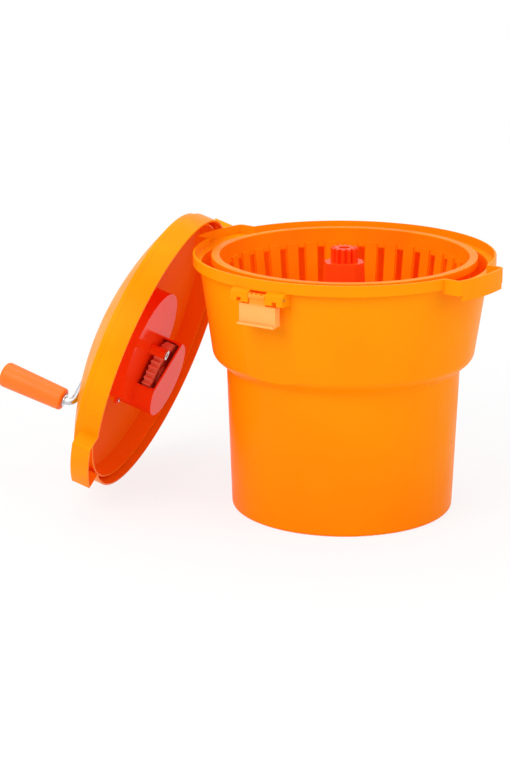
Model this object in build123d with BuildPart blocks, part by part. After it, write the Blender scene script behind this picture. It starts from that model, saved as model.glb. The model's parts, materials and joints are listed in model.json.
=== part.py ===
# Hand-cranked salad spinner: stepped tub, slotted basket on a centre pivot, and the lid with its
# geared crank, taken off and leaning against the tub's handle.
import os
from math import acos, atan2, cos, degrees, pi, radians, sin, sqrt, tan

from build123d import *

os.makedirs("parts", exist_ok=True)

# Fits and clearances, in millimetres as every length here
running_fit = 0.06
loose_fit = 0.3
free_gap = 0.5
seat_gap = 0.05
overcut = 1.0

# Tub
tub_wall = 2.6
tub_floor = 3.0
rim_height = 337.0
collar_radius = 194.0
ledge_drop = 11.7
drum_radius = 185.6
step_radius = 168.5
step_height = 204.0
step_rounding = 16.0
waist_radius = 151.0
waist_height = 189.0
waist_rounding = 3.0
base_radius = 144.0
base_rounding = 5.0
edge_rounding = 0.9

# Tub handles
handle_radius = 215.0
handle_half_width = 49.5
handle_height = 26.0
handle_side_height = 19.0
handle_rounding = 6.0

# Latches: two levers hung on steel pins below the collar, over flat panels in the drum
latch_azimuth = -86.0
latch_panel_half_width = 38.0
latch_pin_radius = 1.6
latch_pin_drop = 20.4
latch_pin_overhang = 1.5
knuckle_reach = 3.6
knuckle_drop = 8.8
knuckle_width = 25.6
knuckle_rounding = 1.6
knuckle_notch_width = 6.2
knuckle_notch_height = 5.5
knuckle_notch_place = 26.0
lever_side_gap = 0.6
lever_neck_width = 23.6
lever_neck_drop = 10.6
lever_tab_width = 53.0
lever_thickness = 2.6
lever_barrel_radius = 4.0
lever_plate_offset = -1.0
lever_rounding = 1.2
lever_flange = 2.2
lever_flange_depth = 7.5
lever_notch_width = 4.0
lever_notch_depth = 1.5
lever_notch_pitch = 7.0
hook_bite = 1.2

# Centre pivot in the tub floor
pivot_boss_radius = 16.0
pivot_boss_height = 30.0
pivot_pin_radius = 6.0
pivot_pin_seat = 25.0
pivot_pin_height = 38.0
washer_thickness = 1.5
bush_radius = 11.0
bush_flange_radius = 15.0
bush_flange_thickness = 4.0
bush_height = 32.0

# Basket
basket_wall = 2.4
basket_floor = 3.0
basket_floor_height = 14.0
basket_drop = 3.0
basket_rim_radius = 170.5
basket_rim_width = 10.7
basket_lip_drop = 10.0
basket_knee_radius = 146.5
basket_knee_height = 208.0
basket_base_radius = 136.5
basket_rib_count = 36
basket_rib_width = 15.5
basket_rib_depth = 1.8
basket_band = 18.5
basket_slot_width = 9.2
basket_slot_drop = 6.0
basket_slot_foot = 34.0
basket_ring_height = 12.0
basket_ring_rise = 172.0
floor_slot_count = 24
floor_slot_length = 48.0
floor_slot_width = 5.0
floor_slot_radius = 96.0

# Column in the basket, with the pinion on its top
column_top_width = 48.5
column_base_width = 84.0
column_sides = 8
column_drop = 10.3
column_wall = 3.0
column_flange_radius = 56.0
column_flange_thickness = 4.0
column_screw_radius = 50.0
column_screw_count = 4
hub_wall = 5.0
hub_web = 4.0
gear_module = 2.5
pressure_angle = 20.0
tooth_root_share = 1.25
flank_points = 5
tooth_backlash = 0.3
pinion_teeth = 12
pinion_height = 18.3
pinion_bore_radius = 7.15
pinion_shank_radius = 9.6
pinion_shank_length = 9.5
clip_thickness = 1.6
clip_width = 3.0
clip_groove = 0.8

# Lid, drawn closed: its open edge at height zero, its ears along X
lid_wall = 2.6
lid_gap = 0.6
skirt_height = 25.0
band_rise = 9.0
band_step = 2.4
band_lean = 1.2
dome_step = 1.8
dome_height = 80.0
lid_ring_radius = 182.4
lid_ring_wall = 2.4
lid_ring_recess = 9.0

# Drive under the lid, turned a little from the ears
drive_turn = -3.0
gear_teeth = 36
gear_width = 12.0
gear_bore_fit = 0.05
gear_web_depth = 3.0
housing_radius = 78.0
housing_wall = 2.6
housing_face = 17.5
lug_radius = 6.5
lug_height = 36.0
lug_angles = (225.5, 314.5)
post_radius = 4.5
pot_gap = 2.0
pot_edge = -30.0
cover_depth = 9.0
cover_thickness = 2.5
cover_rim_width = 1.2
cover_rim_height = 4.5
pin_boss_radius = 11.0
pin_collar_radius = 8.5
pin_collar_height = 4.0
pin_spigot_radius = 4.0
pin_spigot_length = 16.0
pin_radius = 6.6
pin_rib_depth = 1.0
pin_rib_count = 10
pin_reach = 5.0
tip_thickness = 2.0
tip_bore_radius = 3.4

# Crank and knob
crank_rod_radius = 5.0
crank_radius = 85.4
crank_angle = -13.5
crank_bend = 9.5
crank_boss_radius = 14.0
crank_boss_drop = 1.0
crank_boss_length = 23.0
crank_bush_radius = 9.0
crank_flange_radius = 13.0
crank_flange_thickness = 2.0
crank_washer_thickness = 1.2
spacer_radius = 7.5
gear_nut_width = 14.0
gear_nut_height = 5.0
knob_stand_off = 3.5
knob_length = 93.0
knob_foot_radius = 15.4
knob_end_radius = 17.6
knob_foot_rounding = 4.0
knob_end_rounding = 6.5
knob_socket_radius = 10.0
knob_socket_depth = 14.0
knob_cap_thickness = 4.0
knob_washer_radius = 9.0
push_nut_radius = 8.5
push_nut_thickness = 1.5
push_nut_setback = 3.0

# Screws
screw_radius = 1.75
screw_length = 11.0
screw_head_radius = 3.6
screw_head_height = 2.2
screw_head_rounding = 0.9
screw_slot_width = 1.0
screw_slot_depth = 0.9

# Leaning place of the lid: which way its top faces, how far up it looks and how its ears are turned
lean_azimuth = 200.5
lean_elevation = 18.9
lean_turn = 54.0
lean_touch_azimuth = 176.0
floor_gap = 0.2

# Worked-out places on the tub
ledge_height = rim_height - ledge_drop
collar_foot = ledge_height - tub_wall
step_angle = atan2(step_height - waist_height, step_radius - waist_radius)
step_rise = tub_wall * (1 - sin(step_angle)) / cos(step_angle)
panel_top = sqrt(drum_radius**2 - latch_panel_half_width**2)
panel_foot = sqrt(step_radius**2 - latch_panel_half_width**2)
panel_slope = (panel_top - panel_foot) / (collar_foot - step_height)
latch_pin_height = rim_height - latch_pin_drop
latch_pin_place = collar_radius + free_gap + lever_thickness + lever_plate_offset
knuckle_face = latch_pin_place + knuckle_reach
knuckle_foot = latch_pin_height - knuckle_drop
knuckle_place = (lever_neck_width + knuckle_width) / 2 + lever_side_gap
washer_height = pivot_boss_height
bush_foot = washer_height + washer_thickness + loose_fit

# Worked-out places on the basket
basket_top = rim_height - basket_drop
basket_inner_radius = basket_rim_radius - basket_rim_width
basket_floor_top = basket_floor_height + basket_floor
basket_rib_top = basket_top - basket_band
basket_slot_top = basket_rib_top - basket_slot_drop
hub_foot = bush_foot + bush_flange_thickness + loose_fit
column_top = basket_top - column_drop
column_height = column_top - basket_floor_top
pinion_radius = gear_module * pinion_teeth / 2
gear_radius = gear_module * gear_teeth / 2
gear_distance = pinion_radius + gear_radius

# Worked-out places on the lid
skirt_radius = collar_radius - tub_wall - lid_gap
skirt_inner_radius = skirt_radius - lid_wall
ear_radius = handle_radius - tub_wall - lid_gap
ear_half_width = handle_half_width - tub_wall - lid_gap
band_top = skirt_height + band_rise
band_radius = skirt_radius - band_step
dome_edge = band_radius - band_lean - dome_step
dome_rise = dome_height - band_top
dome_radius = (dome_edge**2 + dome_rise**2) / (2 * dome_rise)
dome_centre = dome_height - dome_radius
pot_radius = gear_radius + gear_module + pot_gap
cover_top = cover_thickness - cover_depth
pin_collar_foot = housing_face + housing_wall + seat_gap
pin_boss_foot = pin_collar_foot + pin_collar_height
lug_ring = housing_radius + post_radius + 2 * loose_fit
housing_screw_places = [(lug_ring * cos(radians(angle)), lug_ring * sin(radians(angle))) for angle in lug_angles]
housing_screw_places += [(0, -gear_distance - pot_radius - housing_wall - post_radius - 2 * loose_fit)]
gear_angle = radians(drive_turn - 90)
gear_place = (gear_distance * cos(gear_angle), gear_distance * sin(gear_angle))
crank_boss_top = dome_height - crank_boss_drop
crank_flange_top = crank_boss_top + crank_flange_thickness
crank_washer_top = crank_flange_top + loose_fit + crank_washer_thickness
crank_arm_height = crank_washer_top + crank_bend
knob_place = (
    gear_place[0] + crank_radius * cos(radians(crank_angle)),
    gear_place[1] + crank_radius * sin(radians(crank_angle)),
)
knob_foot = crank_arm_height + crank_bend + knob_stand_off
knob_end = knob_foot + knob_length
knob_socket_floor = knob_end - knob_socket_depth
rod_end = knob_socket_floor + push_nut_setback + push_nut_thickness

# Leaning frame of the lid, from its contact with the floor and with the handle's outer edge
azimuth = radians(lean_azimuth)
elevation = radians(lean_elevation)
turn = radians(lean_turn)
lid_normal = Vector(cos(elevation) * cos(azimuth), cos(elevation) * sin(azimuth), sin(elevation))
up_slope = Vector(-sin(elevation) * cos(azimuth), -sin(elevation) * sin(azimuth), cos(elevation))
along_floor = Vector(-sin(azimuth), cos(azimuth), 0)
ear_direction = along_floor * sin(turn) - up_slope * cos(turn)
lean_height = skirt_radius * cos(elevation) + floor_gap
touch_height = min(rim_height + free_gap, lean_height + skirt_inner_radius * cos(elevation))
touch_turn = acos((touch_height - lean_height) / (skirt_inner_radius * cos(elevation)))
touch_direction = up_slope * cos(touch_turn) - along_floor * sin(touch_turn)
touch_azimuth = radians(lean_touch_azimuth)
touch_radius = handle_radius + free_gap
touch_point = Vector(touch_radius * cos(touch_azimuth), touch_radius * sin(touch_azimuth), touch_height)
lean_centre = touch_point - touch_direction * skirt_inner_radius
leaning = Location(Plane(lean_centre, x_dir=ear_direction, z_dir=lid_normal))

# Working planes
drive = Plane((0, 0, 0), x_dir=(cos(radians(drive_turn)), sin(radians(drive_turn)), 0), z_dir=(0, 0, 1))


def latch_plane(turned):
    """Plane through the tub's axis and a latch: X points outwards, Y up, Z to the latch's left."""
    angle = radians(latch_azimuth + turned)
    return Plane((0, 0, 0), x_dir=(cos(angle), sin(angle), 0), z_dir=(sin(angle), -cos(angle), 0))


def turned(corners, arc=360.0):
    """Solid of revolution about Z from corners given as radius, height and rounding."""
    with BuildPart() as solid:
        with BuildSketch(Plane.XZ):
            with BuildLine():
                places = [(radius, height) for radius, height, _ in corners]
                FilletPolyline(*places, radius=[rounding for _, _, rounding in corners], close=True)
            make_face()
        revolve(axis=Axis.Z, revolution_arc=arc)
    return solid.part


def tube(outer, inner, foot, top):
    """Round tube about Z between two heights."""
    return turned(((inner, foot, 0), (outer, foot, 0), (outer, top, 0), (inner, top, 0)))


def dome_inside(radius):
    """Height of the dome's underside at a distance from the lid's axis."""
    return dome_centre + sqrt((dome_radius - lid_wall) ** 2 - radius**2)


def gear_outline(teeth, bore):
    """Involute spur gear face: each flank follows the involute above the base circle."""
    pitch = gear_module * teeth / 2
    base = pitch * cos(radians(pressure_angle))
    tip = pitch + gear_module
    root = pitch - tooth_root_share * gear_module
    half_tooth = pi / (2 * teeth) - tooth_backlash / (2 * pitch)
    involute = tan(radians(pressure_angle)) - radians(pressure_angle)

    def half_angle(radius):
        flank = acos(min(1.0, base / radius))
        return half_tooth + involute - (tan(flank) - flank)

    low = max(base, root)
    flank_radii = [low + (tip - low) * step / (flank_points - 1) for step in range(flank_points)]
    points = []
    for tooth in range(teeth):
        middle = 2 * pi * tooth / teeth
        rising = [(radius, middle - half_angle(radius)) for radius in flank_radii]
        falling = [(radius, middle + half_angle(radius)) for radius in reversed(flank_radii)]
        feet = [(root, middle - half_angle(low))], [(root, middle + half_angle(low))]
        points += feet[0] * (root < base) + rising + falling + feet[1] * (root < base)
    with BuildSketch() as face:
        with BuildLine():
            Polyline(*[(radius * cos(angle), radius * sin(angle)) for radius, angle in points], close=True)
        make_face()
        Circle(bore, mode=Mode.SUBTRACT)
    return face.sketch


def screw(head_down):
    """Pan-head screw with a cross recess, its head's seat at height zero and its shank along Z."""
    up = 1 if head_down else -1
    head = up * -screw_head_height
    with BuildPart() as solid:
        Cylinder(screw_head_radius, screw_head_height)
        fillet(solid.edges().filter_by(GeomType.CIRCLE).group_by(Axis.Z)[0], screw_head_rounding)
        with Locations((0, 0, -screw_head_height / 2)):
            Box(screw_head_radius, screw_slot_width, 2 * screw_slot_depth, mode=Mode.SUBTRACT)
            Box(screw_slot_width, screw_head_radius, 2 * screw_slot_depth, mode=Mode.SUBTRACT)
        with Locations((0, 0, (screw_head_height + screw_length) / 2)):
            Cylinder(screw_radius, screw_length)
    return solid.part.moved(Location((0, 0, head / 2), (0 if head_down else 180, 0, 0)))


# Tub: one thin shell from the flat base to the collar, with its handles and latch knuckles
tub_outside = (
    (0, 0, 0),
    (base_radius, 0, base_rounding),
    (waist_radius, waist_height, waist_rounding),
    (step_radius, step_height, step_rounding),
    (drum_radius, collar_foot, edge_rounding),
    (collar_radius, collar_foot, edge_rounding),
    (collar_radius, rim_height, edge_rounding),
    (0, rim_height, 0),
)
tub_inside = (
    (0, tub_floor, 0),
    (base_radius - tub_wall, tub_floor, base_rounding - tub_wall),
    (waist_radius - tub_wall, waist_height + step_rise, waist_rounding + tub_wall),
    (step_radius - tub_wall, step_height + step_rise, step_rounding - tub_wall),
    (drum_radius - tub_wall, ledge_height, edge_rounding),
    (collar_radius - tub_wall, ledge_height, edge_rounding),
    (collar_radius - tub_wall, rim_height + overcut, 0),
    (0, rim_height + overcut, 0),
)


def panel_cut(plane, inset, top):
    """Wedge outside a latch's flat panel, moved in by an inset, from the waist up to a height."""
    far = handle_radius
    lean = panel_slope * (top - waist_height)
    top_place = panel_top - inset + panel_slope * (top - collar_foot)
    with BuildPart() as wedge:
        with BuildSketch(plane):
            with BuildLine():
                Polyline(
                    (top_place, top),
                    (top_place - lean, waist_height),
                    (far, waist_height),
                    (far, top),
                    close=True,
                )
            make_face()
        extrude(amount=latch_panel_half_width - inset / 2, both=True)
    return wedge.part


with BuildPart() as tub_cavity:
    add(turned(tub_inside))
    for half_turn in (0, 180):
        add(panel_cut(latch_plane(half_turn), tub_wall, ledge_height), mode=Mode.SUBTRACT)

with BuildPart() as tub:
    add(turned(tub_outside))
    for half_turn in (0, 180):
        add(panel_cut(latch_plane(half_turn), 0, collar_foot), mode=Mode.SUBTRACT)
    add(tub_cavity.part, mode=Mode.SUBTRACT)
    # Handle walls, with the outer wall reaching further down than the sides
    with BuildSketch(Plane.XY.offset(rim_height)) as handle_walls:
        Circle(handle_radius)
        Rectangle(2 * handle_radius, 2 * handle_half_width, mode=Mode.INTERSECT)
        fillet(handle_walls.vertices(), handle_rounding)
        with BuildSketch(mode=Mode.SUBTRACT) as handle_pockets:
            Circle(handle_radius - tub_wall)
            Rectangle(2 * handle_radius, 2 * (handle_half_width - tub_wall), mode=Mode.INTERSECT)
            fillet(handle_pockets.vertices(), handle_rounding - tub_wall)
        Circle(collar_radius - tub_wall / 2, mode=Mode.SUBTRACT)
    extrude(amount=-handle_side_height)
    with BuildSketch(Plane.XY.offset(rim_height - handle_side_height)):
        Circle(handle_radius)
        Rectangle(2 * handle_radius, 2 * handle_half_width - 2 * handle_rounding, mode=Mode.INTERSECT)
        Circle(handle_radius - tub_wall, mode=Mode.SUBTRACT)
    extrude(amount=handle_side_height - handle_height)
    # Handle floors, level with the ledge that the lid rests on
    with BuildSketch(Plane.XY.offset(collar_foot)) as handle_floors:
        Circle(handle_radius - tub_wall / 2)
        Rectangle(2 * handle_radius, 2 * handle_half_width - tub_wall, mode=Mode.INTERSECT)
        Circle(collar_radius - tub_wall, mode=Mode.SUBTRACT)
    extrude(amount=tub_wall)
    # Openings through the collar for the lid's ears
    with BuildSketch(Plane.XY.offset(ledge_height)):
        Circle(collar_radius + tub_wall)
        Rectangle(2 * handle_radius, 2 * (handle_half_width - tub_wall), mode=Mode.INTERSECT)
        Circle(collar_radius - 2 * tub_wall, mode=Mode.SUBTRACT)
    extrude(amount=ledge_drop + overcut, mode=Mode.SUBTRACT)
    # Latch knuckles: two blocks under the collar for each pin, each with a notch from below
    for half_turn in (0, 180):
        for side in (-1, 1):
            with BuildSketch(latch_plane(half_turn).offset(side * knuckle_place)):
                with BuildLine():
                    FilletPolyline(
                        (panel_foot, knuckle_foot),
                        (knuckle_face, knuckle_foot),
                        (knuckle_face, latch_pin_height + knuckle_reach),
                        (collar_radius - edge_rounding, collar_foot + edge_rounding),
                        (panel_foot, collar_foot + edge_rounding),
                        radius=(0, knuckle_rounding, knuckle_rounding, 0, 0),
                        close=True,
                    )
                make_face()
            extrude(amount=knuckle_width / 2, both=True)
        with Locations(latch_plane(half_turn)):
            with Locations((latch_pin_place, latch_pin_height)):
                Cylinder(latch_pin_radius + seat_gap, lever_tab_width * 2, mode=Mode.SUBTRACT)
            with Locations(*[(knuckle_face, knuckle_foot, side * knuckle_notch_place) for side in (-1, 1)]):
                Box(
                    2 * (knuckle_face - panel_top - tub_wall),
                    2 * knuckle_notch_height,
                    knuckle_notch_width,
                    mode=Mode.SUBTRACT,
                )
    # Clear the cavity again where floors and knuckles reach in
    add(tub_cavity.part, mode=Mode.SUBTRACT)
    # Pivot boss on the floor
    add(turned((
        (0, tub_floor / 2, 0),
        (pivot_boss_radius, tub_floor / 2, 0),
        (pivot_boss_radius, pivot_boss_height, edge_rounding),
        (0, pivot_boss_height, 0),
    )))
    with Locations((0, 0, pivot_boss_height)):
        Cylinder(
            pivot_pin_radius + seat_gap,
            2 * pivot_pin_seat,
            mode=Mode.SUBTRACT,
        )

# Latch pins: two steel rods through the knuckles
with BuildPart() as latch_pins:
    for half_turn in (0, 180):
        with BuildSketch(latch_plane(half_turn)):
            with Locations((latch_pin_place, latch_pin_height)):
                Circle(latch_pin_radius)
        extrude(amount=knuckle_place + knuckle_width / 2 + latch_pin_overhang, both=True)


def latch_lever(half_turn):
    """Latch lever as it hangs: a notched barrel on the pin, a neck, and a flanged tab with a hook lip."""
    plane = latch_plane(half_turn)
    plate_face = latch_pin_place + lever_plate_offset
    hook_seat = latch_pin_height - (ledge_height + skirt_height + loose_fit - latch_pin_height)
    hook_end = hook_seat - lever_thickness
    plate_out = plate_face + lever_thickness
    hook_out = 2 * latch_pin_place - (skirt_radius - hook_bite)
    tab_top = latch_pin_height - lever_neck_drop
    with BuildPart() as lever:
        with BuildSketch(plane):
            with Locations((latch_pin_place, latch_pin_height)):
                Circle(lever_barrel_radius)
            with Locations((plate_face, latch_pin_height)):
                Rectangle(lever_thickness, lever_neck_drop + lever_thickness, align=(Align.MIN, Align.MAX))
        extrude(amount=lever_neck_width / 2, both=True)
        with BuildSketch(plane):
            with BuildLine():
                FilletPolyline(
                    (plate_face, tab_top),
                    (plate_face, hook_end),
                    (hook_out, hook_end),
                    (hook_out, hook_seat),
                    (plate_out, hook_seat),
                    (plate_out, tab_top),
                    radius=(0, lever_rounding, lever_rounding / 2, lever_rounding / 2, 0, 0),
                    close=True,
                )
            make_face()
        extrude(amount=lever_tab_width / 2, both=True)
        for side in (-1, 1):
            with BuildSketch(plane.offset(side * (lever_tab_width - lever_flange) / 2)):
                with Locations((plate_face + lever_thickness / 2, tab_top)):
                    Rectangle(
                        lever_flange_depth + lever_thickness / 2,
                        tab_top - hook_end - lever_rounding,
                        align=(Align.MAX, Align.MAX),
                    )
            extrude(amount=lever_flange / 2, both=True)
        with Locations(plane):
            with Locations((latch_pin_place, latch_pin_height)):
                Cylinder(latch_pin_radius + running_fit, 2 * lever_tab_width, mode=Mode.SUBTRACT)
            with Locations((latch_pin_place, latch_pin_height + lever_barrel_radius)):
                with Locations(*[(0, 0, step * lever_notch_pitch) for step in (-1, 0, 1)]):
                    Box(
                        lever_barrel_radius,
                        2 * lever_notch_depth,
                        lever_notch_width,
                        align=(Align.MIN, Align.CENTER, Align.CENTER),
                        mode=Mode.SUBTRACT,
                    )
    return lever.part


with BuildPart() as latch_front:
    add(latch_lever(0))

with BuildPart() as latch_back:
    add(latch_lever(180))

# Pivot: steel pin in the floor boss, a thrust washer, and the bush that turns on the pin
with BuildPart() as pivot_pin:
    add(turned((
        (0, pivot_boss_height - pivot_pin_seat, 0),
        (pivot_pin_radius, pivot_boss_height - pivot_pin_seat, edge_rounding),
        (pivot_pin_radius, pivot_boss_height + pivot_pin_height, pivot_pin_radius / 2),
        (0, pivot_boss_height + pivot_pin_height, 0),
    )))

with BuildPart() as thrust_washer:
    add(tube(bush_flange_radius, pivot_pin_radius + loose_fit, washer_height, washer_height + washer_thickness))

with BuildPart() as pivot_bush:
    bore = pivot_pin_radius + running_fit
    add(tube(bush_flange_radius, bore, bush_foot, bush_foot + bush_flange_thickness))
    add(tube(bush_radius, bore, bush_foot, bush_foot + bush_height))

# Basket: a turned shell with a turned-down rim, ribs inside and slots between them
with BuildPart() as basket:
    wall_top = basket_inner_radius + basket_wall
    add(turned((
        (0, basket_floor_height, 0),
        (basket_base_radius, basket_floor_height, basket_floor),
        (basket_knee_radius, basket_knee_height, step_rounding),
        (wall_top, basket_top - basket_wall, edge_rounding),
        (basket_rim_radius - basket_wall, basket_top - basket_wall, edge_rounding),
        (basket_rim_radius - basket_wall, basket_top - basket_lip_drop, 0),
        (basket_rim_radius, basket_top - basket_lip_drop, edge_rounding),
        (basket_rim_radius, basket_top, edge_rounding),
        (basket_inner_radius, basket_top, edge_rounding),
        (basket_knee_radius - basket_wall, basket_knee_height, step_rounding),
        (basket_base_radius - basket_wall, basket_floor_top, basket_floor),
        (0, basket_floor_top, 0),
    )))
    band_share = basket_band / (basket_top - basket_knee_height)
    rib_top_radius = basket_inner_radius - band_share * (wall_top - basket_knee_radius)
    knee_inner = basket_knee_radius - basket_wall
    base_inner = basket_base_radius - basket_wall
    half_wall = basket_wall / 2
    rib = turned(
        (
            (base_inner - basket_rib_depth, basket_floor_top - half_wall, 0),
            (base_inner + half_wall, basket_floor_top - half_wall, 0),
            (knee_inner + half_wall, basket_knee_height, 0),
            (rib_top_radius + half_wall, basket_rib_top, 0),
            (rib_top_radius - basket_rib_depth, basket_rib_top, 0),
            (knee_inner - basket_rib_depth, basket_knee_height, 0),
        ),
        arc=degrees(basket_rib_width / basket_inner_radius),
    )
    with PolarLocations(0, basket_rib_count):
        add(rib)
    slot_start = degrees(basket_rib_width / basket_inner_radius) / 2 + 180 / basket_rib_count
    for foot, top in (
        (basket_slot_foot, basket_ring_rise),
        (basket_ring_rise + basket_ring_height, basket_slot_top),
    ):
        with Locations((0, 0, (foot + top) / 2)):
            with PolarLocations(basket_knee_radius, basket_rib_count, start_angle=slot_start):
                Box(4 * basket_rim_width, basket_slot_width, top - foot, mode=Mode.SUBTRACT)
    with Locations((0, 0, basket_floor_height)):
        with PolarLocations(floor_slot_radius, floor_slot_count):
            Box(floor_slot_length, floor_slot_width, 3 * basket_floor, mode=Mode.SUBTRACT)
        with PolarLocations(column_screw_radius, column_screw_count):
            Cylinder(screw_radius + seat_gap, 3 * basket_floor, mode=Mode.SUBTRACT)
        Cylinder(column_base_width / 2 - 2 * column_wall, 3 * basket_floor, mode=Mode.SUBTRACT)

# Column: a hollow tapered octagon, with the hub for the bush inside and a screwed flange at its foot
column_taper = (column_base_width - column_top_width) / column_height
hollow_sections = (
    (basket_floor_top, column_base_width),
    (column_top - column_flange_thickness, column_top_width + column_taper * column_flange_thickness),
)
with BuildPart() as column_hollow:
    for height, width in hollow_sections:
        with BuildSketch(Plane.XY.offset(height)):
            inside = width / 2 - column_wall
            RegularPolygon(inside, column_sides, major_radius=False, rotation=180 / column_sides)
    loft()

with BuildPart() as basket_column:
    for height, width in ((basket_floor_top, column_base_width), (column_top, column_top_width)):
        with BuildSketch(Plane.XY.offset(height)):
            RegularPolygon(width / 2, column_sides, major_radius=False, rotation=180 / column_sides)
    loft()
    with BuildSketch(Plane.XY.offset(basket_floor_top)):
        Circle(column_flange_radius)
    extrude(amount=column_flange_thickness)
    with Locations((0, 0, basket_floor_top)):
        with PolarLocations(column_screw_radius, column_screw_count):
            Cylinder(
                post_radius,
                screw_length,
                align=(Align.CENTER, Align.CENTER, Align.MIN),
            )
            Cylinder(screw_radius + seat_gap, 2 * screw_length, mode=Mode.SUBTRACT)
    add(column_hollow.part, mode=Mode.SUBTRACT)
    hub_bore = bush_radius + loose_fit
    web_radius = (column_base_width - column_taper * (hub_foot + hub_web)) / 2 - column_wall / 2
    add(tube(hub_bore + hub_wall, hub_bore, hub_foot, bush_foot + bush_height))
    add(tube(web_radius, hub_bore + hub_wall / 2, hub_foot, hub_foot + hub_web))
    with Locations((0, 0, column_top)):
        Cylinder(pinion_shank_radius + seat_gap, 3 * column_flange_thickness, mode=Mode.SUBTRACT)

with BuildPart() as column_screws:
    with Locations((0, 0, basket_floor_height)):
        with PolarLocations(column_screw_radius, column_screw_count):
            add(screw(head_down=True))

# Pinion on the column's top, held from below by a clip in its shank
with BuildPart() as basket_pinion:
    clip_top = column_top - column_flange_thickness - seat_gap
    with BuildSketch(Plane.XY.offset(column_top)):
        add(gear_outline(pinion_teeth, pinion_bore_radius))
    extrude(amount=pinion_height)
    add(tube(pinion_shank_radius, pinion_bore_radius, column_top - pinion_shank_length, column_top))
    groove_radius = pinion_shank_radius - clip_groove
    groove_foot = clip_top - clip_thickness
    add(
        tube(pinion_shank_radius + overcut, groove_radius, groove_foot, clip_top),
        mode=Mode.SUBTRACT,
    )

with BuildPart() as pinion_clip:
    clip_inner = pinion_shank_radius - clip_groove + seat_gap
    add(tube(clip_inner + clip_width, clip_inner, clip_top - clip_thickness + seat_gap, clip_top - seat_gap))
    with Locations((clip_inner + clip_width / 2, 0, clip_top - clip_thickness / 2)):
        Box(3 * clip_width, clip_width, 2 * clip_thickness, mode=Mode.SUBTRACT)

# Lid shell: skirt, two shoulder steps and dome, with ears, locating ring, posts and bosses
with BuildPart() as lid:
    with BuildSketch(Plane.XZ):
        with BuildLine():
            inner_edge = dome_edge - lid_wall
            halfway = dome_edge / 2
            dome_outside_halfway = dome_centre + sqrt(dome_radius**2 - halfway**2)
            FilletPolyline(
                (skirt_inner_radius, 0),
                (skirt_radius, 0),
                (skirt_radius, skirt_height),
                (band_radius, skirt_height),
                (band_radius - band_lean, band_top),
                (dome_edge, band_top),
                radius=(edge_rounding / 2, edge_rounding, edge_rounding / 2, edge_rounding),
            )
            ThreePointArc((dome_edge, band_top), (halfway, dome_outside_halfway), (0, dome_height))
            Line((0, dome_height), (0, dome_height - lid_wall))
            ThreePointArc(
                (0, dome_height - lid_wall),
                (halfway, dome_inside(halfway)),
                (inner_edge, dome_inside(inner_edge)),
            )
            Polyline(
                (inner_edge, dome_inside(inner_edge)),
                (band_radius - band_lean - lid_wall, band_top - lid_wall),
                (band_radius - lid_wall, skirt_height - lid_wall),
                (skirt_inner_radius, skirt_height - lid_wall),
                (skirt_inner_radius, 0),
            )
        make_face()
    revolve(axis=Axis.Z)
    ring_inner = lid_ring_radius - lid_ring_wall
    add(tube(lid_ring_radius, ring_inner, lid_ring_recess, dome_inside(ring_inner) + lid_wall / 2))
    with BuildSketch() as ear_block:
        Circle(ear_radius)
        Rectangle(2 * ear_radius, 2 * ear_half_width, mode=Mode.INTERSECT)
        fillet(ear_block.vertices(), handle_rounding - tub_wall)
        Circle(skirt_radius - lid_wall / 2, mode=Mode.SUBTRACT)
    extrude(amount=skirt_height)
    with BuildSketch() as ear_hollow:
        Circle(ear_radius - lid_wall)
        Rectangle(2 * ear_radius, 2 * (ear_half_width - lid_wall), mode=Mode.INTERSECT)
        Circle(lid_ring_radius + lid_ring_wall / 2, mode=Mode.SUBTRACT)
    extrude(amount=skirt_height - lid_wall, mode=Mode.SUBTRACT)
    # Boss for the crank bush, through the dome
    with Locations((*gear_place, crank_boss_top)):
        Cylinder(crank_boss_radius, crank_boss_length, align=(Align.CENTER, Align.CENTER, Align.MAX))
        Cylinder(crank_bush_radius + seat_gap, 3 * crank_boss_length, mode=Mode.SUBTRACT)
    # Boss for the centre pin, and posts for the housing's screws, all running up into the dome
    pin_boss_length = dome_inside(pin_boss_radius) + lid_wall / 2 - pin_boss_foot
    with Locations((0, 0, pin_boss_foot)):
        Cylinder(pin_boss_radius, pin_boss_length, align=(Align.CENTER, Align.CENTER, Align.MIN))
        Cylinder(pin_spigot_radius + seat_gap, 2 * (pin_spigot_length + overcut), mode=Mode.SUBTRACT)
    for place in housing_screw_places:
        post_foot = lug_height + housing_wall + seat_gap
        post_length = dome_inside(sqrt(place[0] ** 2 + place[1] ** 2) + post_radius) - post_foot
        with Locations(drive.offset(post_foot)):
            with Locations(place):
                Cylinder(
                    post_radius,
                    post_length + lid_wall / 2,
                    align=(Align.CENTER, Align.CENTER, Align.MIN),
                )
                Cylinder(screw_radius + seat_gap, 2 * screw_length, mode=Mode.SUBTRACT)

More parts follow.
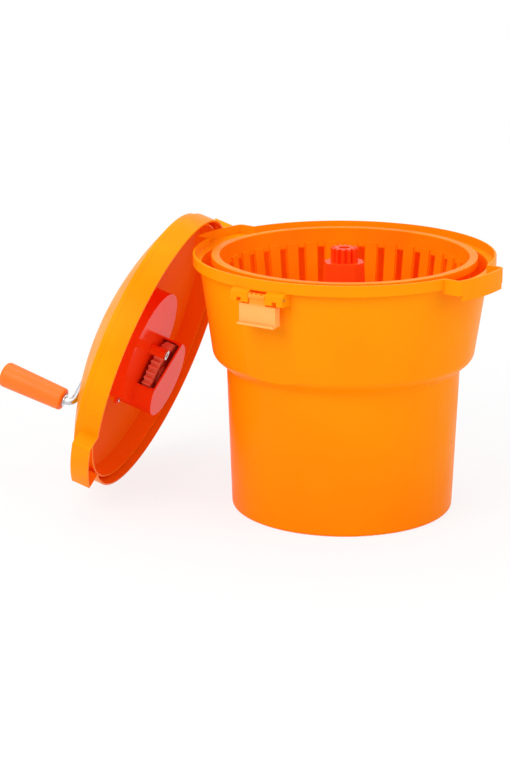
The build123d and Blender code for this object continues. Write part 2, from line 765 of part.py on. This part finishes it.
# Drive housing: a round cup under the dome, closed by a flat web, with the pot around the gear
with BuildPart() as drive_housing:
    with BuildSketch(drive.offset(housing_face)):
        Circle(housing_radius)
        Circle(housing_radius - housing_wall, mode=Mode.SUBTRACT)
    extrude(amount=dome_height)
    with BuildSketch(drive.offset(cover_top)):
        with Locations((0, -gear_distance)):
            Circle(pot_radius + housing_wall)
            Circle(pot_radius, mode=Mode.SUBTRACT)
        with Locations((0, pot_edge)):
            Rectangle(4 * pot_radius, 4 * pot_radius, align=(Align.CENTER, Align.MIN), mode=Mode.SUBTRACT)
    extrude(amount=dome_height)
    with BuildSketch(drive.offset(housing_face)):
        Circle(housing_radius)
        with Locations((0, -gear_distance)):
            Circle(pot_radius + housing_wall)
    extrude(amount=housing_wall)
    # Lugs for the screws, outside the round wall and behind the pot
    with BuildSketch(drive.offset(lug_height)):
        with Locations(*housing_screw_places):
            Circle(lug_radius)
            Circle(screw_radius + seat_gap, mode=Mode.SUBTRACT)
    extrude(amount=housing_wall)
    # Room for the centre pin and for the shaft's boss
    with Locations(drive):
        Cylinder(pin_radius + loose_fit, 2 * pin_boss_foot, mode=Mode.SUBTRACT)
        with Locations((0, -gear_distance)):
            Cylinder(crank_boss_radius + loose_fit, 3 * dome_height, mode=Mode.SUBTRACT)
    with Locations((0, 0, dome_centre)):
        Sphere(dome_radius - lid_wall - seat_gap, mode=Mode.INTERSECT)

with BuildPart() as housing_screws:
    with Locations(drive.offset(lug_height)):
        with Locations(*housing_screw_places):
            add(screw(head_down=True))

# Cover over the gear, pressed into the pot by its rim, with a straight edge towards the pinion
with BuildPart() as gear_cover:
    rim_radius = pot_radius - seat_gap
    for outer, inner, foot, height in (
        (pot_radius + housing_wall, 0, -cover_depth, cover_thickness - seat_gap),
        (rim_radius, rim_radius - cover_rim_width, cover_top - seat_gap, cover_rim_height),
    ):
        with BuildSketch(drive.offset(foot)):
            with Locations((0, -gear_distance)):
                Circle(outer)
                if inner:
                    Circle(inner, mode=Mode.SUBTRACT)
            with Locations((0, pot_edge)):
                Rectangle(4 * pot_radius, 4 * pot_radius, align=(Align.CENTER, Align.MIN), mode=Mode.SUBTRACT)
        extrude(amount=height)

# Centre pin that steadies the pinion, ribbed along its length, with a steel tip
with BuildPart() as centre_pin:
    with BuildSketch(Plane.XY.offset(-pin_reach)):
        Circle(pin_radius - pin_rib_depth)
        with PolarLocations(pin_radius - pin_rib_depth, pin_rib_count):
            Circle(pin_rib_depth)
    extrude(amount=pin_collar_foot + pin_reach)
    add(turned((
        (0, pin_collar_foot, 0),
        (pin_collar_radius, pin_collar_foot, edge_rounding),
        (pin_collar_radius, pin_boss_foot - seat_gap, 0),
        (pin_spigot_radius, pin_boss_foot - seat_gap, 0),
        (pin_spigot_radius, pin_boss_foot + pin_spigot_length, edge_rounding),
        (0, pin_boss_foot + pin_spigot_length, 0),
    )))

with BuildPart() as pin_tip:
    add(tube(pin_radius, tip_bore_radius, -pin_reach - tip_thickness, -pin_reach - seat_gap))

# Crank bush in the dome's boss
with BuildPart() as crank_bush:
    crank_bore = crank_rod_radius + running_fit
    add(tube(crank_bush_radius, crank_bore, crank_boss_top - crank_boss_length, crank_flange_top))
    add(tube(crank_flange_radius, crank_bore, crank_boss_top + seat_gap, crank_flange_top))
    crank_bush.part = crank_bush.part.moved(Location((*gear_place, 0)))

# Crank: one bent steel rod from the gear, over the dome and up through the knob
with BuildPart() as crank:
    reach = Plane((*gear_place, 0), x_dir=(cos(radians(crank_angle)), sin(radians(crank_angle)), 0),
                  z_dir=(sin(radians(crank_angle)), -cos(radians(crank_angle)), 0))
    with BuildLine(reach) as rod_path:
        FilletPolyline(
            (0, -gear_nut_height - seat_gap),
            (0, crank_arm_height),
            (crank_radius, crank_arm_height),
            (crank_radius, rod_end),
            radius=crank_bend,
        )
    with BuildSketch(Plane((*gear_place, -gear_nut_height - seat_gap))):
        Circle(crank_rod_radius)
    sweep(path=rod_path.line)

with BuildPart() as crank_washer:
    add(tube(
        crank_flange_radius,
        crank_rod_radius + seat_gap,
        crank_flange_top + loose_fit,
        crank_washer_top,
    ))
    crank_washer.part = crank_washer.part.moved(Location((*gear_place, 0)))

with BuildPart() as spacer_tube:
    add(tube(
        spacer_radius,
        crank_rod_radius + seat_gap,
        gear_width + seat_gap,
        crank_boss_top - crank_boss_length - loose_fit,
    ))
    spacer_tube.part = spacer_tube.part.moved(Location((*gear_place, 0)))

# Drive gear: a toothed disc with a recessed web around its hub
with BuildPart() as drive_gear:
    with BuildSketch():
        add(gear_outline(gear_teeth, crank_rod_radius + gear_bore_fit))
    extrude(amount=gear_width)
    web_outer = gear_radius - 3 * gear_module
    web_inner = 2 * spacer_radius
    for foot, top in ((-overcut, gear_web_depth), (gear_width - gear_web_depth, gear_width + overcut)):
        add(tube(web_outer, web_inner, foot, top), mode=Mode.SUBTRACT)
    drive_gear.part = drive_gear.part.moved(Location((*gear_place, 0), (0, 0, degrees(gear_angle))))

with BuildPart() as gear_nut:
    with BuildSketch(Plane.XY.offset(-gear_nut_height)):
        RegularPolygon(gear_nut_width / 2, 6, major_radius=False)
        Circle(crank_rod_radius + seat_gap, mode=Mode.SUBTRACT)
    extrude(amount=gear_nut_height - seat_gap)
    gear_nut.part = gear_nut.part.moved(Location((*gear_place, 0)))

# Knob: a tapered grip that spins on the crank's end, its socket closed by a cap
with BuildPart() as knob:
    knob_bore = crank_rod_radius + running_fit
    add(turned((
        (knob_bore, knob_foot, 0),
        (knob_foot_radius, knob_foot, knob_foot_rounding),
        (knob_end_radius, knob_end, knob_end_rounding),
        (knob_socket_radius, knob_end, 0),
        (knob_socket_radius, knob_socket_floor, 0),
        (knob_bore, knob_socket_floor, 0),
    )))
    knob.part = knob.part.moved(Location((*knob_place, 0)))

with BuildPart() as knob_cap:
    add(turned((
        (0, knob_end - knob_cap_thickness, 0),
        (knob_socket_radius - seat_gap, knob_end - knob_cap_thickness, 0),
        (knob_socket_radius - seat_gap, knob_end, edge_rounding),
        (0, knob_end, 0),
    )))
    knob_cap.part = knob_cap.part.moved(Location((*knob_place, 0)))

with BuildPart() as knob_washer:
    add(tube(
        knob_washer_radius,
        crank_rod_radius + seat_gap,
        knob_foot - loose_fit - crank_washer_thickness,
        knob_foot - loose_fit,
    ))
    knob_washer.part = knob_washer.part.moved(Location((*knob_place, 0)))

with BuildPart() as push_nut:
    add(tube(
        push_nut_radius,
        crank_rod_radius + seat_gap,
        knob_socket_floor + loose_fit,
        knob_socket_floor + loose_fit + push_nut_thickness,
    ))
    push_nut.part = push_nut.part.moved(Location((*knob_place, 0)))

# Everything on the lid goes to its leaning place, and each piece is written out
standing_pieces = {
    "tub": tub,
    "latch_pins": latch_pins,
    "latch_front": latch_front,
    "latch_back": latch_back,
    "pivot_pin": pivot_pin,
    "thrust_washer": thrust_washer,
    "pivot_bush": pivot_bush,
    "basket": basket,
    "basket_column": basket_column,
    "column_screws": column_screws,
    "basket_pinion": basket_pinion,
    "pinion_clip": pinion_clip,
}
lid_pieces = {
    "lid": lid,
    "drive_housing": drive_housing,
    "housing_screws": housing_screws,
    "gear_cover": gear_cover,
    "centre_pin": centre_pin,
    "pin_tip": pin_tip,
    "crank_bush": crank_bush,
    "crank": crank,
    "crank_washer": crank_washer,
    "spacer_tube": spacer_tube,
    "drive_gear": drive_gear,
    "gear_nut": gear_nut,
    "knob": knob,
    "knob_cap": knob_cap,
    "knob_washer": knob_washer,
    "push_nut": push_nut,
}
for piece in lid_pieces.values():
    piece.part = piece.part.moved(leaning)
for name, piece in (standing_pieces | lid_pieces).items():
    piece.part.label = name
    export_step(piece.part, f"parts/{name}.step")
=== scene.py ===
import json
from math import cos, radians, sin

import bpy
import numpy as np
from mathutils import Matrix, Vector

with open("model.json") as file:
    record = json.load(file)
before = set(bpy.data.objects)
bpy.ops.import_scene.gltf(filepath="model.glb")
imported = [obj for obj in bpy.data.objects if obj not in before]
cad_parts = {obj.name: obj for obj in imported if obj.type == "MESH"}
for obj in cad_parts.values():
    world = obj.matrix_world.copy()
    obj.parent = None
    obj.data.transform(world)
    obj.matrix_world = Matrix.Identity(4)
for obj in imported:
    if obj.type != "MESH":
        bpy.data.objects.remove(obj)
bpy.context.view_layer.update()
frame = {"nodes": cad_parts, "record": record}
nodes = frame["nodes"]
scene = bpy.context.scene
scene.view_settings.view_transform = "Standard"

# Light goes to and fro many times between the bright walls of tub, basket and lid
scene.cycles.diffuse_bounces = 16
scene.cycles.max_bounces = 24

# Camera: where the photograph was taken from, in metres right of, ahead of and above the tub's foot
VIEW_AZIMUTH = radians(38.5)
VIEW_PITCH = radians(15.76)
VIEW_PLACE = (-0.1143, -2.882, 0.9759)
VIEW_FOCAL_PIXELS = 2303.75
PHOTO_HEIGHT = 765
SENSOR = 36.0

# Moulded colours, as linear values: the two ends that the plastic drifts between; the tub's deeper
# end is also its painted shade
TUB_ORANGE_AND_PAINTED_SHADE = ((1.0, 0.315, 0.002), (1.0, 0.235, 0.001))
LID_ORANGE = ((1.0, 0.34, 0.002), (1.0, 0.275, 0.001))
# Painted glow: a deeper red standing for light bounced within the lid and passed through its wall
LID_HOLLOW_PAINTED_GLOW = (1.0, 0.24, 0.004)
BASKET_ORANGE = ((1.0, 0.27, 0.001), (1.0, 0.21, 0.001))
LATCH_ORANGE = ((1.0, 0.30, 0.004), (1.0, 0.48, 0.13))
DRIVE_RED = ((0.98, 0.082, 0.008), (0.96, 0.064, 0.005))
GEAR_PINK = ((0.93, 0.30, 0.18), (0.85, 0.24, 0.14))
KNOB_ORANGE = ((0.95, 0.21, 0.014), (0.92, 0.17, 0.008))
NYLON = ((0.82, 0.80, 0.74), (0.76, 0.73, 0.66))
STEEL = ((0.66, 0.66, 0.68), (0.58, 0.58, 0.60))

# Heights between which a tall piece goes from its second colour to its first, in metres; on the tub
# this lays on painted shade, deeper towards the foot
TUB_PAINTED_SHADE_HEIGHTS = (0.02, 0.3)
LATCH_TAB_TOP = (0.303, 0.308)
HEIGHT_SHARE = 0.75

# Middle of the leaning lid, which its hollow faces, and the cosines over which the painted red glow
# sets in
LID_MIDDLE = (-0.2517, -0.0939, 0.1872)
PAINTED_GLOW_EDGE = (0.0, 0.12)

# Noise in the plastic, in cycles a metre, and the part of a noise's values that is put to use
NOISE_SPREAD = (0.35, 0.65)
COLOUR_DRIFT = 9.0
RUBBED_PATCHES = 26.0
FINE_SCUFFS = 240.0
SCUFFS_UPRIGHT = (1, 1, 0.12)
SCUFF_SHARE = 0.35
MOULD_RIPPLE = 420.0
RIPPLE_DEPTH = 0.00002
RUBBED_GLOSS = (-0.05, 0.09)

# Drawn and polished steel
STEEL_TONE = 60.0
STEEL_LINES = 700.0
LINES_UPRIGHT = (1, 1, 0.08)
STEEL_ROUGHNESS = (0.11, 0.24)

# Light: the world's strength on the object and as the camera sees it, and the softboxes:
# metres right, ahead and up from the tub's foot, edge in metres, power in watts
WORLD_LIGHT = 0.62
WORLD_SEEN = 1.0
SOFTBOXES = {
    "key_softbox": ((-1.5, -1.6, 1.9), 1.6, 30.0),
    "fill_softbox": ((1.9, -1.1, 1.2), 1.4, 11.0),
    "top_softbox": ((0.0, 0.3, 2.4), 1.8, 18.0),
}
SOFTBOX_AIM = Vector((-0.1, 0, 0.2))

# White floor, in metres: the shadow is kept inside the first reach, and lost outside the second.
# The lift is the share of plain white that is laid over the shadow.
FLOOR_HALF = 3.0
FLOOR_WHITE = (0.9, 0.9, 0.9, 1)
SHADOW_REACH = 0.42
WHITE_REACH = 0.95
SHADOW_LIFT = 0.82


def view_point(right, ahead, up):
    """Point so far right, ahead and up of the tub's foot, for the level camera heading."""
    across = Vector((cos(VIEW_AZIMUTH), sin(VIEW_AZIMUTH), 0))
    onward = Vector((-sin(VIEW_AZIMUTH), cos(VIEW_AZIMUTH), 0))
    return across * right + onward * ahead + Vector((0, 0, up))


def place_camera():
    """Camera at the photograph's place, pitched down, with its field of view on the long side."""
    right = view_point(1, 0, 0)
    look = view_point(0, cos(VIEW_PITCH), -sin(VIEW_PITCH))
    data = bpy.data.cameras.new("photo_camera")
    data.sensor_width = SENSOR
    data.lens = SENSOR * VIEW_FOCAL_PIXELS / PHOTO_HEIGHT
    camera = bpy.data.objects.new("photo_camera", data)
    camera.matrix_world = Matrix((right, right.cross(look), -look)).transposed().to_4x4()
    camera.location = view_point(*VIEW_PLACE)
    scene.collection.objects.link(camera)
    scene.camera = camera


class Finish:
    """A node material being wired up: a Principled surface on Object coordinates."""

    def __init__(self, name, **sockets):
        self.material = bpy.data.materials.new(name)
        self.material.use_nodes = True
        self.tree = self.material.node_tree
        self.surface = self.tree.nodes["Principled BSDF"]
        for key, value in sockets.items():
            self.surface.inputs[key.replace("_", " ")].default_value = value
        coordinates = self.add("ShaderNodeTexCoord")
        self.place = coordinates.outputs["Object"]
        self.normal = coordinates.outputs["Normal"]

    def add(self, kind, **settings):
        node = self.tree.nodes.new(kind)
        for key, value in settings.items():
            setattr(node, key, value)
        return node

    def link(self, source, target):
        self.tree.links.new(source, target)

    def noise(self, scale, detail=2.0, stretch=(1, 1, 1)):
        """Noise over the object, in cycles a metre, stretched along the axes."""
        mapping = self.add("ShaderNodeMapping")
        mapping.inputs["Scale"].default_value = stretch
        self.link(self.place, mapping.inputs["Vector"])
        texture = self.add("ShaderNodeTexNoise")
        texture.inputs["Scale"].default_value = scale
        texture.inputs["Detail"].default_value = detail
        self.link(mapping.outputs["Vector"], texture.inputs["Vector"])
        return texture.outputs["Fac"]

    def height(self):
        """Height over the floor, in metres."""
        parts = self.add("ShaderNodeSeparateXYZ")
        self.link(self.place, parts.inputs["Vector"])
        return parts.outputs["Z"]

    def facing(self, point):
        """Cosine of the angle between the surface's normal and the way to a point."""
        way = self.add("ShaderNodeVectorMath", operation="SUBTRACT")
        way.inputs[0].default_value = point
        self.link(self.place, way.inputs[1])
        unit = self.add("ShaderNodeVectorMath", operation="NORMALIZE")
        self.link(way.outputs["Vector"], unit.inputs[0])
        cosine = self.add("ShaderNodeVectorMath", operation="DOT_PRODUCT")
        self.link(unit.outputs["Vector"], cosine.inputs[0])
        self.link(self.normal, cosine.inputs[1])
        return cosine.outputs["Value"]

    def range(self, value, low, high, spread=NOISE_SPREAD):
        """Map a value that goes over the spread onto the numbers from low to high."""
        node = self.add("ShaderNodeMapRange")
        start, end = spread
        node.inputs["From Min"].default_value = start
        node.inputs["From Max"].default_value = end
        node.inputs["To Min"].default_value = low
        node.inputs["To Max"].default_value = high
        self.link(value, node.inputs["Value"])
        return node.outputs["Result"]

    def mean(self, first, second, share):
        """Weighted mean of two values, the share being the second one's."""
        node = self.add("ShaderNodeMix", data_type="FLOAT")
        node.inputs["Factor"].default_value = share
        self.link(first, node.inputs["A"])
        self.link(second, node.inputs["B"])
        return node.outputs["Result"]

    def between(self, value, first, second):
        """Colour between two by a 0 to 1 value; a colour is three numbers or a node's output."""
        node = self.add("ShaderNodeMix", data_type="RGBA")
        for key, colour in (("A", first), ("B", second)):
            if isinstance(colour, tuple):
                node.inputs[key].default_value = (*colour, 1)
            else:
                self.link(colour, node.inputs[key])
        self.link(value, node.inputs["Factor"])
        return node.outputs["Result"]

    def bump(self, value, distance):
        """Raise and lower the surface by a 0 to 1 value times the distance, in metres."""
        node = self.add("ShaderNodeBump")
        node.inputs["Distance"].default_value = distance
        self.link(value, node.inputs["Height"])
        self.link(node.outputs["Normal"], self.surface.inputs["Normal"])


def moulded_plastic(name, colours, gloss=0.3, shine=0.03, tall=None, hollow=None):
    """Moulded plastic that drifts between two colours, with a rubbed sheen and a fine ripple.

    The colour follows slow noise, and on a tall piece most of it follows the height, which on the
    tub is painted shade, deeper towards its foot.
    A hollow's colour takes over on the faces turned towards the hollow's middle.
    A painted red glow, standing for light bounced within the lid, takes over on the faces turned
    towards the hollow's middle.
    """
    finish = Finish(name, Specular_IOR_Level=shine)
    drift_and_shade = finish.range(finish.noise(COLOUR_DRIFT, detail=3.0), 0, 1)
    # On the tub the height lays on painted shade, deeper and redder towards its foot
    if tall:
        drift_and_shade = finish.mean(drift_and_shade, finish.range(finish.height(), 1, 0, tall), HEIGHT_SHARE)
    colour = finish.between(drift_and_shade, *colours)
    # Painted glow: faces turned towards the lid's middle take a deeper red for light bounced within
    # the lid
    if hollow:
        middle, painted_glow = hollow
        glow_share = finish.range(finish.facing(middle), 0, 1, PAINTED_GLOW_EDGE)
        colour = finish.between(glow_share, colour, painted_glow)
    finish.link(colour, finish.surface.inputs["Base Color"])
    patches = finish.noise(RUBBED_PATCHES, detail=3.0)
    scuffs = finish.noise(FINE_SCUFFS, detail=4.0, stretch=SCUFFS_UPRIGHT)
    rubbed = finish.mean(patches, scuffs, SCUFF_SHARE)
    roughness = finish.range(rubbed, *(gloss + step for step in RUBBED_GLOSS))
    finish.link(roughness, finish.surface.inputs["Roughness"])
    finish.bump(finish.noise(MOULD_RIPPLE, detail=1.0), RIPPLE_DEPTH)
    return finish.material


def polished_steel(name):
    """Polished steel: a faint drift of tone, and fine drawn lines in its gloss."""
    finish = Finish(name, Metallic=1.0)
    tone = finish.range(finish.noise(STEEL_TONE, detail=3.0), 0, 1)
    finish.link(finish.between(tone, *STEEL), finish.surface.inputs["Base Color"])
    lines = finish.noise(STEEL_LINES, stretch=LINES_UPRIGHT)
    roughness = finish.range(lines, *STEEL_ROUGHNESS)
    finish.link(roughness, finish.surface.inputs["Roughness"])
    return finish.material


def dress():
    """Give every piece its moulded or metal finish."""
    # The lid's finish carries a painted red glow on its faces within the lid
    lid = moulded_plastic("lid_plastic_painted_glow", LID_ORANGE, hollow=(LID_MIDDLE, LID_HOLLOW_PAINTED_GLOW))
    finishes = {
        # The tub's finish carries painted shade, deeper towards its foot
        "shell_orange": moulded_plastic("tub_plastic_painted_shade", TUB_ORANGE_AND_PAINTED_SHADE, tall=TUB_PAINTED_SHADE_HEIGHTS),
        "basket_orange": moulded_plastic("basket_plastic", BASKET_ORANGE),
        "latch_orange": moulded_plastic(
            "latch_plastic", LATCH_ORANGE, shine=0.3, tall=LATCH_TAB_TOP
        ),
        "drive_red": moulded_plastic("drive_plastic", DRIVE_RED, gloss=0.12, shine=0.028),
        "gear_nylon": moulded_plastic("gear_nylon", GEAR_PINK, gloss=0.42, shine=0.3),
        "knob_orange": moulded_plastic("knob_plastic", KNOB_ORANGE, gloss=0.4, shine=0.3),
        "bearing_nylon": moulded_plastic("bearing_nylon", NYLON, gloss=0.45, shine=0.4),
        "steel": polished_steel("rod_steel"),
    }
    for part in frame["record"]["subparts"]:
        mesh = nodes[part["node"]].data
        mesh.materials.clear()
        mesh.materials.append(lid if part["node"] == "lid" else finishes[part["material_slot"]])


def seen_rays(tree):
    """1 for rays from the camera and for mirrored rays, 0 for the light on the object."""
    path = tree.nodes.new("ShaderNodeLightPath")
    seen = tree.nodes.new("ShaderNodeMath")
    seen.operation = "MAXIMUM"
    tree.links.new(path.outputs["Is Camera Ray"], seen.inputs[0])
    tree.links.new(path.outputs["Is Glossy Ray"], seen.inputs[1])
    return seen.outputs[0]


def light_the_stage():
    """White world as the camera sees it, with softer light and three softboxes on the object."""
    world = bpy.data.worlds.new("studio")
    scene.world = world
    world.use_nodes = True
    tree = world.node_tree
    background = tree.nodes["Background"]
    background.inputs["Color"].default_value = (1, 1, 1, 1)
    strength = tree.nodes.new("ShaderNodeMapRange")
    strength.inputs["To Min"].default_value = WORLD_LIGHT
    strength.inputs["To Max"].default_value = WORLD_SEEN
    tree.links.new(seen_rays(tree), strength.inputs["Value"])
    tree.links.new(strength.outputs["Result"], background.inputs["Strength"])
    for name, (place, size, power) in SOFTBOXES.items():
        data = bpy.data.lights.new(name, "AREA")
        data.size = size
        data.energy = power
        lamp = bpy.data.objects.new(name, data)
        lamp.location = view_point(*place)
        aim = SOFTBOX_AIM - view_point(*place)
        lamp.rotation_euler = aim.to_track_quat("-Z", "Y").to_euler()
        scene.collection.objects.link(lamp)


def lay_floor():
    """White floor that keeps the soft shadow by the object and turns pure white further out.

    The share of plain white grows with the distance from the tub's foot, for seen rays only.
    """
    corners = FLOOR_HALF * np.array([(-1, -1, 0), (1, -1, 0), (1, 1, 0), (-1, 1, 0)])
    mesh = bpy.data.meshes.new("floor")
    mesh.from_pydata(corners.tolist(), [], [(0, 1, 2, 3)])
    floor = bpy.data.objects.new("floor", mesh)
    scene.collection.objects.link(floor)
    finish = Finish("floor_white", Base_Color=FLOOR_WHITE, Roughness=0.9, Specular_IOR_Level=0.0)
    far = finish.add("ShaderNodeVectorMath", operation="LENGTH")
    finish.link(finish.place, far.inputs[0])
    fade = finish.range(far.outputs["Value"], SHADOW_LIFT, 1.0, (SHADOW_REACH, WHITE_REACH))
    share = finish.add("ShaderNodeMath", operation="MULTIPLY")
    finish.link(fade, share.inputs[0])
    finish.link(seen_rays(finish.tree), share.inputs[1])
    white = finish.add("ShaderNodeEmission")
    mixed = finish.add("ShaderNodeMixShader")
    finish.link(share.outputs[0], mixed.inputs["Fac"])
    finish.link(finish.surface.outputs[0], mixed.inputs[1])
    finish.link(white.outputs[0], mixed.inputs[2])
    finish.link(mixed.outputs[0], finish.tree.nodes["Material Output"].inputs["Surface"])
    mesh.materials.append(finish.material)


place_camera()
light_the_stage()
lay_floor()
dress()
